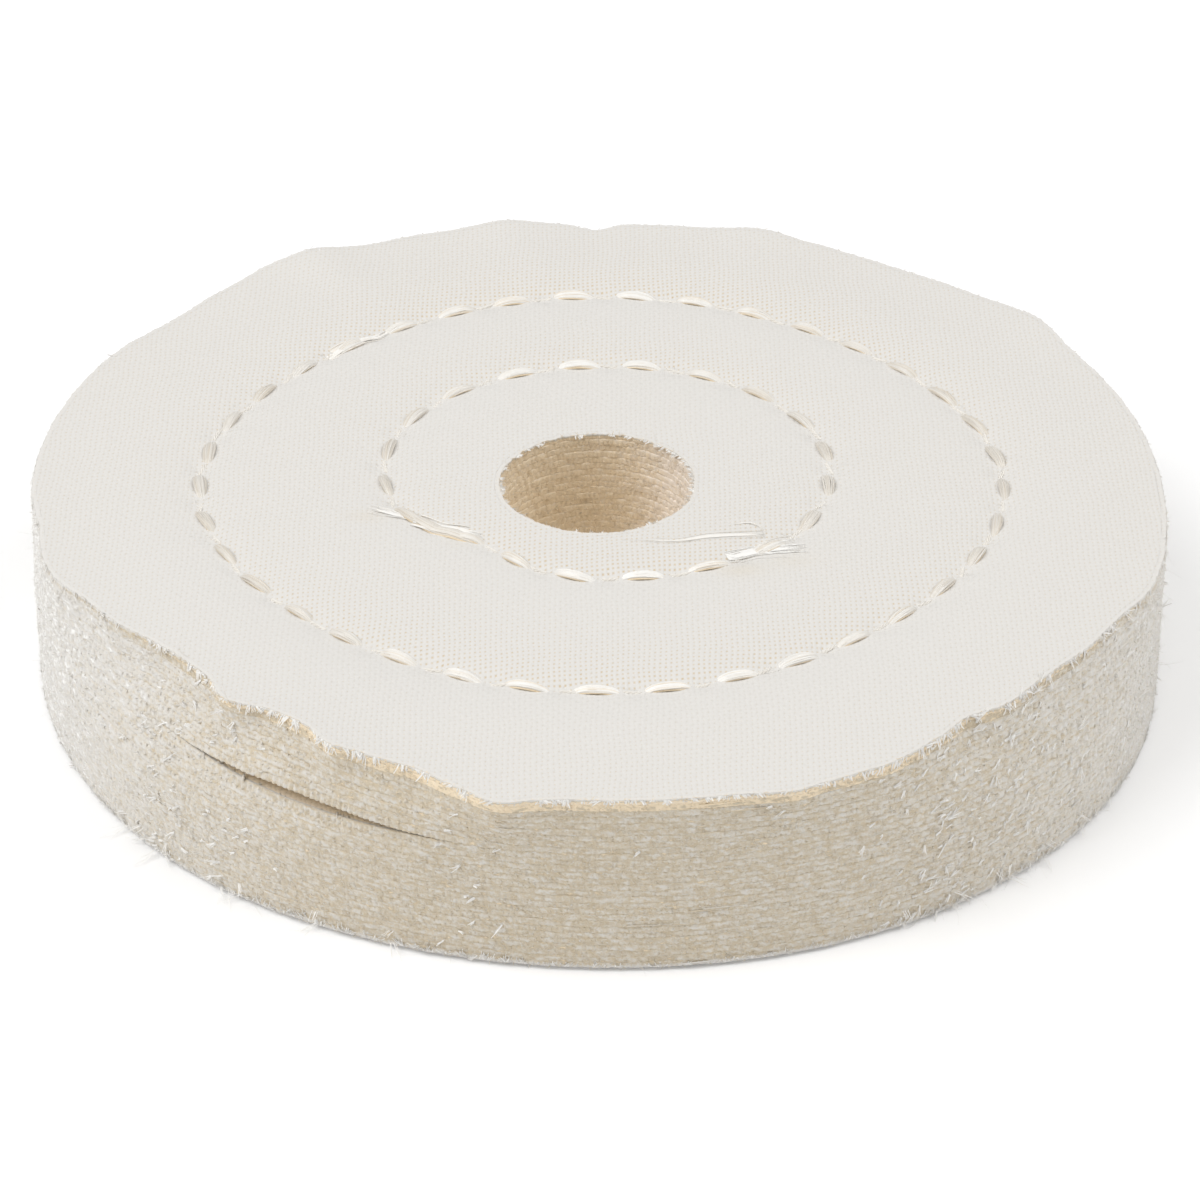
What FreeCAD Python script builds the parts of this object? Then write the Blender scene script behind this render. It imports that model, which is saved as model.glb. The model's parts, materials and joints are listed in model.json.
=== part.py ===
import FreeCAD, Part
import Sketcher
import math
import os

# A stitched cotton polishing wheel: loose discs of plain-woven cloth in a stack, sewn together with two
# rings of lockstitch round a plain cut bore. Millimetres, with the wheel's axis along Z and the origin on
# that axis, half way through the stack.

DOC_NAME = "StitchedPolishingWheel"
FULL_TURN = 360
TURN = FreeCAD.Units.Quantity(FULL_TURN, FreeCAD.Units.Angle)

WHEEL_SIZES = {
    "wheel_thickness": 12.5,
    "ply_count": 28,
    "bore_radius": 6.5,
    "thread_width": 0.8,
    "thread_height": 0.3,
    "thread_radius": 0.25,
    "thread_clearance": 0.02,
}

# Each ring of stitches: its radius, its centre, which is a little off the bore's, and its stitches.
RING_SIZES = {
    "outer_ring_radius": 26.0,
    "outer_ring_x": 0.3,
    "outer_ring_y": 1.0,
    "outer_stitch_count": 37,
    "inner_ring_radius": 14.4,
    "inner_ring_x": 0.8,
    "inner_ring_y": 2.4,
    "inner_stitch_count": 20,
}
RINGS = ("outer", "inner")

# The cut outline's radius at even steps of angle from +X, anticlockwise seen from above.
RIM_RADII = (
    37.4, 38.0, 38.4, 38.8, 37.9, 39.0, 38.8, 38.4,
    37.6, 37.2, 37.3, 36.9, 37.1, 37.7, 38.0, 38.2,
)
RIM_POINTS = len(RIM_RADII)
RIM_STEP = math.radians(FULL_TURN / RIM_POINTS)
# A uniform periodic cubic passes inside its control points by this factor on a circle.
RIM_PULL = (2 + math.cos(RIM_STEP)) / 3
RIM_DEGREE = 3

# Sketcher's own numbers for a circle's centre, a sketch's X axis, and its origin as a point on that axis.
CENTRE_POINT = 3
X_AXIS = -1
ORIGIN_POINT = 1


def make_sheet(doc):
    """The spreadsheet that holds every driving dimension under an alias."""
    sheet = doc.addObject("Spreadsheet::Sheet", "Dimensions")
    radii = {f"rim_radius_{number:02d}": radius for number, radius in enumerate(RIM_RADII, 1)}
    for row, (alias, value) in enumerate({**WHEEL_SIZES, **RING_SIZES, **radii}.items(), 1):
        sheet.set(f"A{row}", alias)
        sheet.set(f"B{row}", str(value))
        sheet.setAlias(f"B{row}", alias)
    doc.recompute()
    return sheet


def make_body(doc, name, height):
    """An empty body called name, lifted along Z by an expression on the sheet."""
    body = doc.addObject("PartDesign::Body", name)
    body.Label = name
    body.setExpression("Placement.Base.z", height)
    return body


def make_sketch(body, name, centre=None):
    """A sketch on the body's own XY plane, with its origin at a ring's centre if one is named."""
    sketch = body.newObject("Sketcher::SketchObject", name)
    plane = next(item for item in body.Origin.OriginFeatures if item.Role == "XY_Plane")
    sketch.AttachmentSupport = [(plane, "")]
    sketch.MapMode = "FlatFace"
    if centre:
        sketch.setExpression("AttachmentOffset.Base.x", f"Dimensions.{centre}_ring_x")
        sketch.setExpression("AttachmentOffset.Base.y", f"Dimensions.{centre}_ring_y")
    return sketch


def add_constraint(sketch, size, *constraint):
    """A driving constraint whose value is an expression on the sheet."""
    index = sketch.addConstraint(Sketcher.Constraint(*constraint))
    sketch.setExpression(f"Constraints[{index}]", size)


def add_circle(sketch, radius, size, across=0.0, across_size=None):
    """A circle on the sketch's X axis, at its origin or across from it."""
    centre = FreeCAD.Vector(across, 0, 0)
    circle = sketch.addGeometry(Part.Circle(centre, FreeCAD.Vector(0, 0, 1), radius), False)
    add_constraint(sketch, size, "Radius", circle, radius)
    if across_size:
        on_axis = Sketcher.Constraint("PointOnObject", circle, CENTRE_POINT, X_AXIS)
        sketch.addConstraint(on_axis)
        away = ("DistanceX", X_AXIS, ORIGIN_POINT, circle, CENTRE_POINT, across)
        add_constraint(sketch, across_size, *away)
    else:
        both = ("Coincident", circle, CENTRE_POINT, X_AXIS, ORIGIN_POINT)
        sketch.addConstraint(Sketcher.Constraint(*both))


def add_rim(sketch):
    """The wavy outline: one closed cubic, with each control point held at its angle and radius."""
    poles = [
        FreeCAD.Vector(math.cos(RIM_STEP * step), math.sin(RIM_STEP * step), 0) * (radius / RIM_PULL)
        for step, radius in enumerate(RIM_RADII)
    ]
    curve = Part.BSplineCurve()
    curve.buildFromPolesMultsKnots(
        poles, [1] * (RIM_POINTS + 1), range(RIM_POINTS + 1), True, RIM_DEGREE
    )
    spline = sketch.addGeometry(curve, False)
    sketch.exposeInternalGeometry(spline)
    for step, pole in enumerate(poles):
        radius = f"Dimensions.rim_radius_{step + 1:02d} / {RIM_PULL}"
        angle = f"{step} * {FULL_TURN}deg / {RIM_POINTS}"
        weight = spline + 1 + step
        for word, ratio, place in (("DistanceX", "cos", pole.x), ("DistanceY", "sin", pole.y)):
            held = (word, X_AXIS, ORIGIN_POINT, weight, CENTRE_POINT, place)
            add_constraint(sketch, f"{radius} * {ratio}({angle})", *held)


def pad(body, name, sketch, length, downwards=False):
    """A pad of the sketch, as long as an expression on the sheet says."""
    feature = body.newObject("PartDesign::Pad", name)
    feature.Profile = sketch
    feature.Reversed = downwards
    feature.setExpression("Length", length)
    return feature


def pocket(body, name, sketch, length=None):
    """A pocket that goes up from the sketch: to a depth, or right through where there is none."""
    feature = body.newObject("PartDesign::Pocket", name)
    feature.Profile = sketch
    feature.Reversed = True
    if length:
        feature.setExpression("Length", length)
    else:
        feature.Type = "ThroughAll"
    return feature


def repeat_round(body, name, feature, sketch, ring):
    """One copy of a feature for each stitch of a ring, about the ring's own centre."""
    pattern = body.newObject("PartDesign::PolarPattern", name)
    pattern.Originals = [feature]
    pattern.Axis = (sketch, ["N_Axis"])
    pattern.Angle = TURN
    pattern.setExpression("Occurrences", f"Dimensions.{ring}_stitch_count")
    body.Tip = pattern
    return pattern


def add_needle_holes(body, ring):
    """The holes that the needle left, one for each stitch of a ring."""
    sketch = make_sketch(body, f"{body.Name}_{ring}_hole_sketch", ring)
    radius = WHEEL_SIZES["thread_radius"] + WHEEL_SIZES["thread_clearance"]
    add_circle(
        sketch,
        radius,
        "Dimensions.thread_radius + Dimensions.thread_clearance",
        RING_SIZES[f"{ring}_ring_radius"],
        f"Dimensions.{ring}_ring_radius",
    )
    hole = pocket(body, f"{body.Name}_{ring}_hole", sketch)
    repeat_round(body, f"{body.Name}_{ring}_holes", hole, sketch, ring)


def add_ring_circles(sketch, ring, clearance_cell=None):
    """The two edges of a ring of thread, or of the dent that it lies in where there is a clearance."""
    half = WHEEL_SIZES["thread_width"] / 2
    half_size = "Dimensions.thread_width / 2"
    if clearance_cell:
        half += WHEEL_SIZES[clearance_cell]
        half_size += f" + Dimensions.{clearance_cell}"
    middle = RING_SIZES[f"{ring}_ring_radius"]
    middle_size = f"Dimensions.{ring}_ring_radius"
    add_circle(sketch, middle - half, f"{middle_size} - ({half_size})")
    add_circle(sketch, middle + half, f"{middle_size} + {half_size}")


def add_dent(body, ring, height):
    """The dent that the pulled thread presses into the outer face of an outside ply."""
    sketch = make_sketch(body, f"{body.Name}_{ring}_dent_sketch", ring)
    sketch.setExpression("AttachmentOffset.Base.z", height)
    add_ring_circles(sketch, ring, "thread_clearance")
    pocket(body, f"{body.Name}_{ring}_dent", sketch, "Dimensions.thread_height")


def ply_name(number):
    return f"cloth_ply_{number:02d}"


def ply_height(number):
    """The height of a ply's underside, counted from the lowest ply."""
    thickness = "Dimensions.wheel_thickness / Dimensions.ply_count"
    return f"{number - 1} * {thickness} - Dimensions.wheel_thickness / 2"


def make_cut_ply(doc, number, dent_height=None):
    """A disc of cloth with its bore and needle holes, and with dents where it is an outside ply."""
    body = make_body(doc, ply_name(number), ply_height(number))
    outline = make_sketch(body, f"{body.Name}_outline")
    add_rim(outline)
    add_circle(outline, WHEEL_SIZES["bore_radius"], "Dimensions.bore_radius")
    thickness = "Dimensions.wheel_thickness / Dimensions.ply_count"
    pad(body, f"{body.Name}_cloth", outline, thickness)
    for ring in RINGS:
        add_needle_holes(body, ring)
        if dent_height:
            add_dent(body, ring, dent_height)
    return body


def make_same_ply(doc, number, model):
    """A ply cut together with the model ply, and so a clone of it at its own height."""
    body = make_body(doc, ply_name(number), ply_height(number))
    clone = body.newObject("PartDesign::FeatureBase", f"{body.Name}_cloth")
    clone.BaseFeature = model
    body.Tip = clone
    return body


def make_plies(doc):
    """The whole stack: two outside plies with dents, and the plain plies between them."""
    last = WHEEL_SIZES["ply_count"]
    thickness = "Dimensions.wheel_thickness / Dimensions.ply_count"
    lowest = make_cut_ply(doc, 1, "0mm")
    plain = make_cut_ply(doc, 2)
    same = [make_same_ply(doc, number, plain) for number in range(3, last)]
    top = make_cut_ply(doc, last, f"{thickness} - Dimensions.thread_height")
    return [lowest, plain, *same, top]


def make_thread(doc, ring, side):
    """One of a ring's two threads: a ring on its own face, with a leg to mid-stack at each stitch."""
    above = side == "needle"
    half = "Dimensions.wheel_thickness / 2"
    body = make_body(doc, f"{ring}_{side}_thread", half if above else f"-{half}")
    face = make_sketch(body, f"{body.Name}_face_sketch", ring)
    add_ring_circles(face, ring)
    pad(body, f"{body.Name}_face", face, "Dimensions.thread_height", above)
    leg_sketch = make_sketch(body, f"{body.Name}_leg_sketch", ring)
    add_circle(
        leg_sketch,
        WHEEL_SIZES["thread_radius"],
        "Dimensions.thread_radius",
        RING_SIZES[f"{ring}_ring_radius"],
        f"Dimensions.{ring}_ring_radius",
    )
    leg = pad(body, f"{body.Name}_leg", leg_sketch, half, above)
    repeat_round(body, f"{body.Name}_legs", leg, leg_sketch, ring)
    return body


def check(doc, bodies):
    """Stops the build if an object failed, or a sub-part isn't one sound solid."""
    failed = [item.Name for item in doc.Objects if {"Invalid", "Error"} & set(item.State)]
    if failed:
        raise RuntimeError(f"these objects failed: {failed}")
    for body in bodies:
        shape = body.Shape
        if shape.isNull() or not shape.isValid() or len(shape.Solids) != 1:
            raise RuntimeError(f"{body.Label} isn't one sound solid")
        heights = f"z {shape.BoundBox.ZMin:.3f} to {shape.BoundBox.ZMax:.3f}"
        print(f"{body.Label}: {shape.Volume:.2f} mm3, {heights}")


def export(bodies):
    """One STEP file for each sub-part, named after it."""
    os.makedirs("parts", exist_ok=True)
    for body in bodies:
        body.Shape.exportStep(f"parts/{body.Label}.step")


def main():
    doc = FreeCAD.newDocument(DOC_NAME)
    make_sheet(doc)
    bodies = make_plies(doc)
    bodies += [make_thread(doc, ring, side) for ring in RINGS for side in ("needle", "bobbin")]
    doc.recompute()
    check(doc, bodies)
    export(bodies)


main()
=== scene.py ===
"""Looks of a stitched cotton polishing wheel: frayed plies of woven cloth, sewn by two rings of thread.

Lengths are in millimetres until a mesh is made, which is in metres. The camera looks along +Y.
"""

import json
import math

import bpy
import numpy as np
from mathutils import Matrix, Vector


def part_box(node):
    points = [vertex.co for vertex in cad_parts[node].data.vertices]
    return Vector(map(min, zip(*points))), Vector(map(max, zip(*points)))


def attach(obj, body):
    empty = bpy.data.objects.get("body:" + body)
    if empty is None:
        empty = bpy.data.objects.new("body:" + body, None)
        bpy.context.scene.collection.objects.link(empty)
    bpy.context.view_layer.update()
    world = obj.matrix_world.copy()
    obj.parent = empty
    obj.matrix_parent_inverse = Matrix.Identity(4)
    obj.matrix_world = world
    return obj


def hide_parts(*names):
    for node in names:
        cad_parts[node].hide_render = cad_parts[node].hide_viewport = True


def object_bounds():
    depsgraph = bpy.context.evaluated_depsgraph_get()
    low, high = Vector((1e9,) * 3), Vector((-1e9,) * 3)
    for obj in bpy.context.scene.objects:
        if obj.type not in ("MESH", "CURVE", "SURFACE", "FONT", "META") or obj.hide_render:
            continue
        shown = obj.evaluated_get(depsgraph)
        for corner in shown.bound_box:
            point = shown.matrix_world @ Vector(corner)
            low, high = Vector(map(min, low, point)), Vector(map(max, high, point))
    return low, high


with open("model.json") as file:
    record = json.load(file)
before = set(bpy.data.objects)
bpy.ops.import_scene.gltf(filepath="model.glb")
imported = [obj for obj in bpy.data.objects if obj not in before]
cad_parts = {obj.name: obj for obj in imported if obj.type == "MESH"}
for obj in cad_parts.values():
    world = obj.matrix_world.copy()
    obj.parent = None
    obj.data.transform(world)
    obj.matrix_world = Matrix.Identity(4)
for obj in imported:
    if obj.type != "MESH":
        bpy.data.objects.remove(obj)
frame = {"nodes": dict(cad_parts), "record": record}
cad_box = [list(corner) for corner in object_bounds()]

MM = 0.001
TAU = 2 * math.pi

# ---------------- sizes that come from the frame

PLY_NODES = sorted(name for name in frame["nodes"] if name.startswith("cloth_ply_"))
PLY_COUNT = len(PLY_NODES)
HALF_HEIGHT = cad_box[1][2] / MM
PLY_PITCH = 2 * HALF_HEIGHT / PLY_COUNT
BORE_RADIUS = next(m for m in frame["record"]["mounts"] if m["name"] == "bore")["dims"]["r_mm"]

THREAD_HALF_WIDTH = 0.4
# The wheel rests on the stitches and fluff of its underside, which keep the cloth a little off the floor.
FLOOR_LEVEL = -HALF_HEIGHT - 0.2
STITCH_COUNTS = {"outer": 37, "inner": 20}


def ring_of(name):
    """(centre x, centre y, radius) of a stitch ring, from its thread's CAD solid."""
    low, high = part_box(f"{name}_needle_thread")
    x, y = (low.x + high.x) / 2, (low.y + high.y) / 2
    return x / MM, y / MM, (high.x - low.x) / 2 / MM - THREAD_HALF_WIDTH


RINGS = {name: ring_of(name) for name in STITCH_COUNTS}


def cad_rim(node):
    """The angles and radii of a ply's cut outline, from its CAD solid."""
    co = np.array([v.co[:2] for v in frame["nodes"][node].data.vertices]) / MM
    radius = np.hypot(co[:, 0], co[:, 1])
    rim = radius > 0.9 * radius.max()
    angle = np.arctan2(co[rim, 1], co[rim, 0]) % TAU
    order = np.argsort(angle)
    return angle[order], radius[rim][order]


RIM_ANGLES, RIM_RADII = cad_rim(PLY_NODES[PLY_COUNT // 2])


def ply_level(number):
    """A ply's level, from near -1 for the lowest to near 1 for the highest. Plies are counted from 1."""
    return (2 * number - 1) / PLY_COUNT - 1


def is_outside(level):
    """Whether a ply is one of the two on the outside of the stack."""
    return abs(level) > 1 - 1.5 / PLY_COUNT



# ---------------- sizes of the cloth and thread

WARP_PITCH, WEFT_PITCH = 0.336, 0.423
WEFT_SKEW = 0.145
SHEET_THICKNESS = 0.30
YARN_RADIUS = 0.125

# What handling has done to the stack's edge. Each row is an angle and a half-width in degrees, how far
# the edge goes out and up in millimetres, and the level from which that starts.
EDGE_CHANGES = (
    (204, 4, -0.5, 0.0, -0.1),
    (219, 14, -3.3, 0.25, -0.2),
    (239, 12, -1.9, 0.15, 0.1),
    (229.5, 2.8, 1.0, 0.0, 0.5),
    (243, 2.5, 0.75, 0.0, 0.4),
    (252, 3.5, -0.7, 0.0, 0.3),
    (261, 3.0, 0.9, 0.0, 0.3),
    (288, 3.0, 0.45, 0.0, 0.4),
    (309, 3, -0.8, 0.0, 0.3),
    (304.5, 5, -0.7, 0.0, 0.2),
    (188, 5, -0.45, 0.0, 0.2),
    (320, 12, -1.5, 0.1, -0.1),
    (333, 5, -0.6, 0.0, 0.3),
    (36.6, 5, 0.6, 0.2, 0.0),
    (56, 9, -0.4, -0.1, 0.0),
    (72, 4, 0.35, 0.2, 0.3),
    (90.3, 2.2, -0.7, -0.15, 0.5),
    (100, 4, 0.4, 0.25, 0.2),
    (118, 5, -0.3, 0.0, 0.2),
    (122, 4, 0.6, 0.35, 0.2),
    (127.5, 3, 0.6, 0.0, 0.2),
    (142, 6, -0.5, -0.1, 0.0),
)

# The place where two plies have come apart: the number of plies below it, its angle and half-width in
# degrees, and how far its upper and lower lips have moved.
GAP_PLY, GAP_ANGLE, GAP_WIDTH, GAP_LIFT, GAP_SAG = 19, 239, 11, 0.55, 0.15
GAP_LEVEL = 2 * GAP_PLY / PLY_COUNT - 1

# Where the edge is frayed: an angle and a half-width in degrees, and how much.
FRAYED = (
    (222, 5, 0.9), (231, 5, 0.5), (258, 3, 0.5), (303, 6, 0.9), (315, 7, 1.0), (334, 9, 0.5),
    (350, 6, 0.35), (122, 5, 0.45), (150, 5, 0.3), (72, 4, 0.2), (200, 12, 0.1), (25, 8, 0.25),
)


def bump(angle, centre, width):
    """1 at an angle and 0 well away from it. centre and width are in degrees."""
    away = (angle - math.radians(centre) + math.pi) % TAU - math.pi
    return np.exp(-((away / math.radians(width)) ** 2))


def smooth(value, start, end):
    """0 before start, 1 after end, and a soft step between them."""
    share = np.clip((value - start) / (end - start), 0, 1)
    return share * share * (3 - 2 * share)


def circle_steps(count):
    return np.arange(count) * TAU / count


def waves(angle, seed, slowest, fastest):
    """A closed wobble about 1 high, made of whole-number waves round the wheel."""
    rng = np.random.default_rng(seed)
    counts = range(slowest, fastest + 1)
    total = sum(rng.uniform(0.4, 1) * np.cos(n * angle + rng.uniform(0, TAU)) for n in counts)
    return total / math.sqrt(len(counts))


def rim_radius(angle, level, seed):
    """The radius of a ply's cut edge."""
    radius = np.interp(angle, RIM_ANGLES, RIM_RADII, period=TAU)
    for centre, width, out, _, start in EDGE_CHANGES:
        radius = radius + out * bump(angle, centre, width) * smooth(level, start, 1.0)
    return radius + 0.02 * waves(angle, seed, 3, 12) + 0.025 * waves(angle, seed + 1, 40, 90)


def bore_edge(angle, seed):
    return BORE_RADIUS + 0.05 * waves(angle, seed, 2, 9) + 0.03 * waves(angle, seed + 1, 20, 40)


def fray(angle):
    """How frayed the rim is at an angle, from 0 to 1."""
    total = sum(amount * bump(angle, centre, width) for centre, width, amount in FRAYED)
    return np.clip(0.12 + total, 0, 1)


# ---------------- the quilted shape of the stack

GROOVE_DEPTH = {"outer": 0.42, "inner": 0.32}
GROOVE_WIDTH = {"outer": 1.9, "inner": 1.6}
CREST = 0.25
HOLE_DEPTH, HOLE_WIDTH = 0.25, 0.75
# The angle about each ring's centre of one of its needle holes.
HOLE_STARTS = {"outer": math.radians(2.0), "inner": math.radians(-0.5)}


def ring_wobble(name, angle):
    """How far a ring of stitches wanders from its circle."""
    if name == "outer":
        return 0.36 * np.cos(2 * angle) + 0.42 * np.cos(4 * angle)
    slip = -1.8 * bump(angle, 230, 17) + 0.4 * bump(angle, 325, 20)
    return 0.15 + 0.35 * np.cos(2 * angle) - 0.2 * np.cos(angle) + slip


def ring_place(name, x, y):
    """(distance out from a ring of stitches, angle about its centre)."""
    centre_x, centre_y, radius = RINGS[name]
    angle = np.arctan2(y - centre_y, x - centre_x)
    away = np.hypot(x - centre_x, y - centre_y)
    return away - radius - ring_wobble(name, angle), angle


def quilting(x, y):
    """How high the cloth's outer face stands, with valleys at the stitches and crests between them."""
    rim_away, _ = ring_place("outer", x, y)
    height = CREST * (1 - smooth(rim_away, 3, 10))
    for name, count in STITCH_COUNTS.items():
        away, angle = ring_place(name, x, y)
        soft = np.sqrt(away**2 + 0.04)
        height = height - GROOVE_DEPTH[name] * np.exp(-soft / GROOVE_WIDTH[name])
        at_hole = 0.5 + 0.5 * np.cos(count * (angle - HOLE_STARTS[name]))
        height = height - HOLE_DEPTH * at_hole**3 * np.exp(-((away / HOLE_WIDTH) ** 2))
        height = height + 0.08 * (at_hole - 0.5) * np.exp(-soft / 2.2)
    return height


def margin(x, y):
    """0 inside the outer ring of stitches, and 1 at the rim."""
    away, _ = ring_place("outer", x, y)
    return np.clip(away / 10.5, 0, 1.2) ** 1.4


def cloth_height(x, y, level):
    """The height of the middle of a ply at level, from -1 for the lowest to 1 for the highest."""
    angle = np.arctan2(y, x)
    loose = margin(x, y)
    height = level * HALF_HEIGHT + np.sign(level) * abs(level) ** 1.6 * quilting(x, y)
    for centre, width, _, up, start in EDGE_CHANGES:
        height = height + up * bump(angle, centre, width) * smooth(level, start, 1.0) * loose
    opening = bump(angle, GAP_ANGLE, GAP_WIDTH) * loose
    if level > GAP_LEVEL:
        return height + GAP_LIFT * opening
    return height - GAP_SAG * opening * math.exp((level - GAP_LEVEL) / 0.25)


# ---------------- meshes


class Soup:
    """Vertices, faces and per-vertex values gathered from several sources into one mesh."""

    def __init__(self):
        self.points, self.quads, self.tris, self.values = [], [], [], []
        self.smooth_quads, self.smooth_tris = [], []
        self.count = 0

    def add(self, points, quads, tris=(), tone=0.0, fuzz=0.0, open_weave=0.0, smooth=True):
        points = np.array(points, float).reshape(-1, 3)
        # Whatever is on the underside is pressed flat against the floor.
        points[:, 2] = np.maximum(points[:, 2], FLOOR_LEVEL)
        self.points.append(points)
        quads = np.asarray(quads, np.int64).reshape(-1, 4)
        tris = np.asarray(tris, np.int64).reshape(-1, 3)
        self.quads.append(quads + self.count)
        self.tris.append(tris + self.count)
        self.smooth_quads.append(np.full(len(quads), smooth))
        self.smooth_tris.append(np.full(len(tris), smooth))
        columns = (np.asarray(value, float).ravel() for value in (tone, fuzz, open_weave))
        values = [np.broadcast_to(column, len(points)) for column in columns]
        self.values.append(np.stack(values, 1))
        self.count += len(points)

    def add_tubes(self, paths, radii, sides, tone=0.0, fuzz=0.0, smooth=True, **shape):
        """Adds tubes(). tone and fuzz are single values, or one for each (tube, ring)."""
        tone, fuzz = (per_ring(value, sides) if np.ndim(value) else value for value in (tone, fuzz))
        self.add(*tubes(paths, radii, sides, **shape), tone=tone, fuzz=fuzz, smooth=smooth)

    def build(self, name, material):
        points = np.concatenate(self.points) * MM
        quads, tris = np.concatenate(self.quads), np.concatenate(self.tris)
        values = np.concatenate(self.values)
        mesh = bpy.data.meshes.new(name)
        mesh.vertices.add(len(points))
        mesh.vertices.foreach_set("co", points.ravel())
        corners = np.concatenate([quads.ravel(), tris.ravel()])
        mesh.loops.add(len(corners))
        mesh.loops.foreach_set("vertex_index", corners)
        starts = np.concatenate([np.arange(len(quads)) * 4, 4 * len(quads) + np.arange(len(tris)) * 3])
        mesh.polygons.add(len(starts))
        mesh.polygons.foreach_set("loop_start", starts)
        mesh.polygons.foreach_set("use_smooth", np.concatenate(self.smooth_quads + self.smooth_tris))
        mesh.update(calc_edges=True)
        for index, word in enumerate(("tone", "fuzz", "open_weave")):
            attribute = mesh.attributes.new(word, "FLOAT", "POINT")
            attribute.data.foreach_set("value", values[:, index].astype(np.float32))
        mesh.validate()
        mesh.materials.append(material)
        piece = bpy.data.objects.new(name, mesh)
        bpy.context.scene.collection.objects.link(piece)
        return piece


UP = np.array([0.0, 0.0, 1.0])


def unit(vectors):
    return vectors / np.maximum(np.linalg.norm(vectors, axis=-1, keepdims=True), 1e-9)


def outwards(angle):
    """The level direction at an angle."""
    return np.stack([np.cos(angle), np.sin(angle), 0 * angle], -1)


def in_plan(radius, angle):
    return radius * np.cos(angle), radius * np.sin(angle)


def tubes(paths, radii, sides, up=(0, 0, 1), flatten=1.0):
    """Closed tubes along paths, an array of (tube, ring, xyz). Returns (points, quads, tris)."""
    paths = np.asarray(paths, float)
    count, rings, _ = paths.shape
    radii = np.broadcast_to(radii, (count, rings))
    along = unit(np.gradient(paths, axis=1))
    up = np.broadcast_to(np.asarray(up, float), (count, 3))[:, None, :]
    side = unit(np.cross(along, up))
    over = np.cross(side, along)
    turn = circle_steps(sides)
    wide, thin = np.cos(turn)[:, None], flatten * np.sin(turn)[:, None]
    across = side[:, :, None, :] * wide + over[:, :, None, :] * thin
    wall = paths[:, :, None, :] + radii[:, :, None, None] * across
    beyond = radii[:, [0, -1], None] * np.array([-0.4, 0.4])[:, None]
    ends = paths[:, [0, -1]] + along[:, [0, -1]] * beyond
    points = np.concatenate([wall.reshape(count, rings * sides, 3), ends], axis=1)
    stride = rings * sides + 2
    ring, spot = np.meshgrid(np.arange(rings - 1), np.arange(sides), indexing="ij")
    after = (spot + 1) % sides
    here, next_ring = ring * sides, (ring + 1) * sides
    quad = np.stack([here + spot, here + after, next_ring + after, next_ring + spot], -1)
    spot = np.arange(sides)
    after = (spot + 1) % sides
    last = (rings - 1) * sides
    near = np.stack([after, spot, np.full(sides, rings * sides)], -1)
    far = np.stack([last + spot, last + after, np.full(sides, rings * sides + 1)], -1)
    shift = (np.arange(count) * stride)[:, None, None]
    quads = (quad.reshape(1, -1, 4) + shift).reshape(-1, 4)
    tris = (np.concatenate([near, far])[None] + shift).reshape(-1, 3)
    return points.reshape(-1, 3), quads, tris


def per_ring(values, sides):
    """Values given per (tube, ring), repeated for each point that tubes() makes of them."""
    values = np.asarray(values, float)
    wall = np.repeat(values, sides, axis=1)
    return np.concatenate([wall, values[:, :1], values[:, -1:]], axis=1).ravel()


# ---------------- cloth plies


def openness(x, y):
    """How far the pull of the stitches has opened the weave, from 0 to 1. It is largest on the slopes of
    the stitch grooves that face the front, so the pinholes' painted shade shows most there.
    """
    total = 0.42 + 0 * x
    for name in RINGS:
        away, angle = ring_place(name, x, y)
        total = total + 0.65 * np.sin(angle) * np.tanh(away / 0.3) * np.exp(-abs(away) / 4.5)
    return np.clip(total, 0.05, 1)


# Painted light: the rim is painted paler where the lamps light it most, at the left, right and back. Each
# row is an angle and a half-width in degrees, and how much paler.
LIT_EDGE_PAINTED_PALE = (188, 36, 0.78), (350, 42, 0.50), (90, 70, 0.65)
RIM_TONE, OCHRE_AND_SHADE_TONE, BORE_TONE = 0.80, 1.8, 1.6


def edge_tone(angle, level, outward):
    """How tan a ply's cut edge is, on the scale that cotton_shade() reads: its own tan, with painted
    light and shade by angle and height.
    """
    if outward < 0:
        # Painted light: the back right of the bore's wall, which faces the key lamp, is painted paler.
        return BORE_TONE + 1.1 * bump(angle, 25, 42)
    # Painted light: on its lit sides the rim's tan is lifted towards white.
    tone = RIM_TONE - sum(paler * bump(angle, centre, width) for centre, width, paler in LIT_EDGE_PAINTED_PALE)
    # Just under the white top edge, the front of the rim has a band of ochre: partly the cloth's own
    # colour, partly painted shade under the top ply's edge.
    return tone + smooth(level, 0.86, 0.92) * bump(angle, 272, 62) * (OCHRE_AND_SHADE_TONE - tone)


def ring_quads(rows, columns):
    """The faces of a grid that closes on itself both ways."""
    row, column = np.meshgrid(np.arange(rows), np.arange(columns), indexing="ij")
    down, after = (row + 1) % rows, (column + 1) % columns
    corners = (row, column), (down, column), (down, after), (row, after)
    return np.stack([r * columns + c for r, c in corners], -1).reshape(-1, 4)


# Soft smudges of tangled fibre on the top face: place, half-width and how cream.
SMUDGES = (
    (9.2, -11.0, 1.5, 0.45),
    (12.6, -9.9, 1.6, 0.25),
    (-15.2, -4.3, 1.3, 0.3),
    (-9.0, -7.6, 1.2, 0.15),
)


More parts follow.
